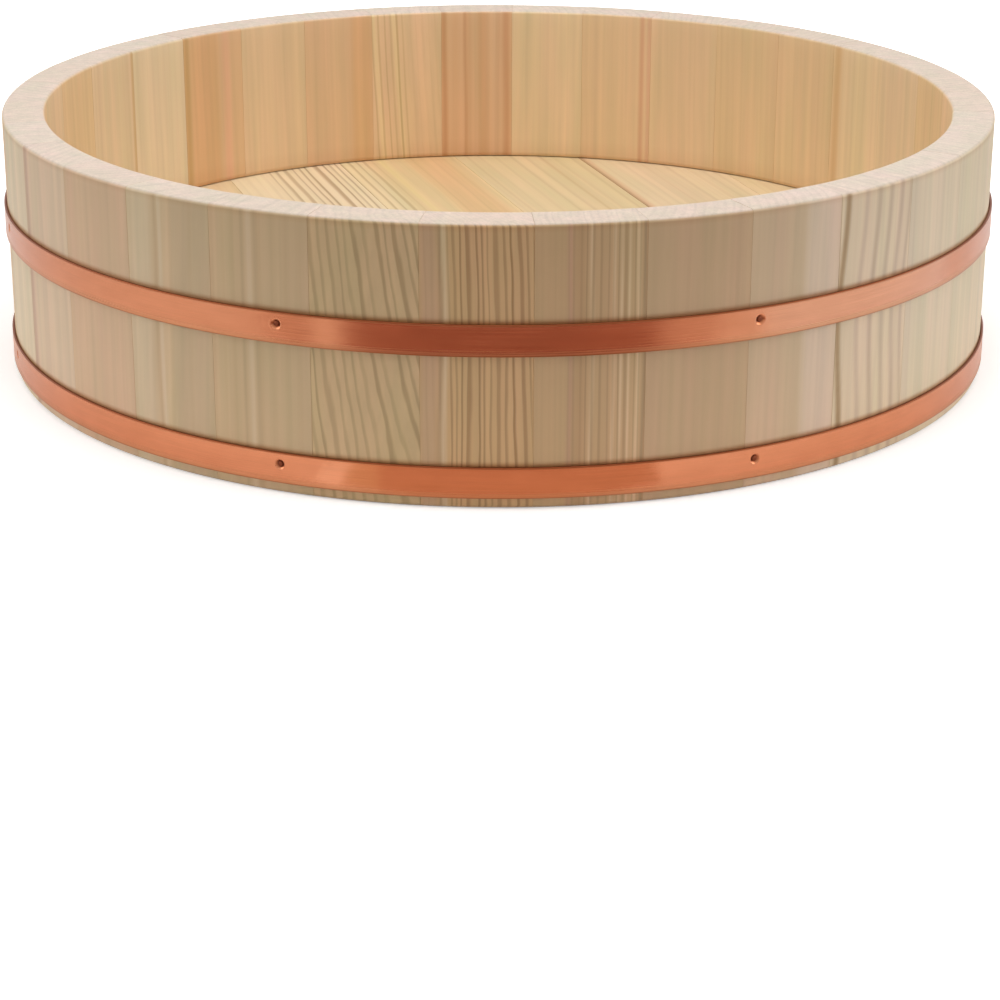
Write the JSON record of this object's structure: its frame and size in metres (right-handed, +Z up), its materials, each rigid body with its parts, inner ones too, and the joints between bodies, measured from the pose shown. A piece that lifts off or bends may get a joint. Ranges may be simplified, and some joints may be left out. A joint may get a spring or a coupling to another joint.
{
  "type": "wooden sushi rice tub",
  "caption": "Low round coopered wooden tub with a raised floor and copper hoops, for cooling and dressing sushi rice.",
  "frame": {"origin": "centre of the tub on the surface it stands on", "axes": "+Z up along the tub's axis, -Y the front"},
  "size_m": [0.3318, 0.3318, 0.0853],
  "materials": {
    "stave_wood": "planed",
    "floor_wood": "planed",
    "bamboo": "whittled",
    "copper_strip": "satin",
    "copper_nail": "satin"
  },
  "bodies": {
    "root": {"stave_01": "stave_wood", "stave_02": "stave_wood", "stave_03": "stave_wood", "stave_04": "stave_wood", "stave_05": "stave_wood", "stave_06": "stave_wood", "stave_07": "stave_wood", "stave_08": "stave_wood", "stave_09": "stave_wood", "stave_10": "stave_wood", "stave_11": "stave_wood", "stave_12": "stave_wood", "stave_13": "stave_wood", "stave_14": "stave_wood", "stave_15": "stave_wood", "stave_16": "stave_wood", "stave_17": "stave_wood", "stave_18": "stave_wood", "stave_19": "stave_wood", "stave_20": "stave_wood", "stave_21": "stave_wood", "stave_22": "stave_wood", "stave_23": "stave_wood", "stave_24": "stave_wood", "stave_25": "stave_wood", "stave_26": "stave_wood", "stave_27": "stave_wood", "stave_28": "stave_wood", "stave_29": "stave_wood", "stave_30": "stave_wood", "stave_31": "stave_wood", "stave_32": "stave_wood", "stave_33": "stave_wood", "floor_board_1": "floor_wood", "floor_board_2": "floor_wood", "floor_board_3": "floor_wood", "floor_board_4": "floor_wood", "floor_board_5": "floor_wood", "floor_board_6": "floor_wood", "floor_board_7": "floor_wood", "stave_pegs": "bamboo", "floor_pegs": "bamboo", "upper_hoop": "copper_strip", "upper_hoop_nails": "copper_nail", "upper_hoop_rivets": "copper_nail", "lower_hoop": "copper_strip", "lower_hoop_nails": "copper_nail", "lower_hoop_rivets": "copper_nail"}
  },
  "joints": []
}
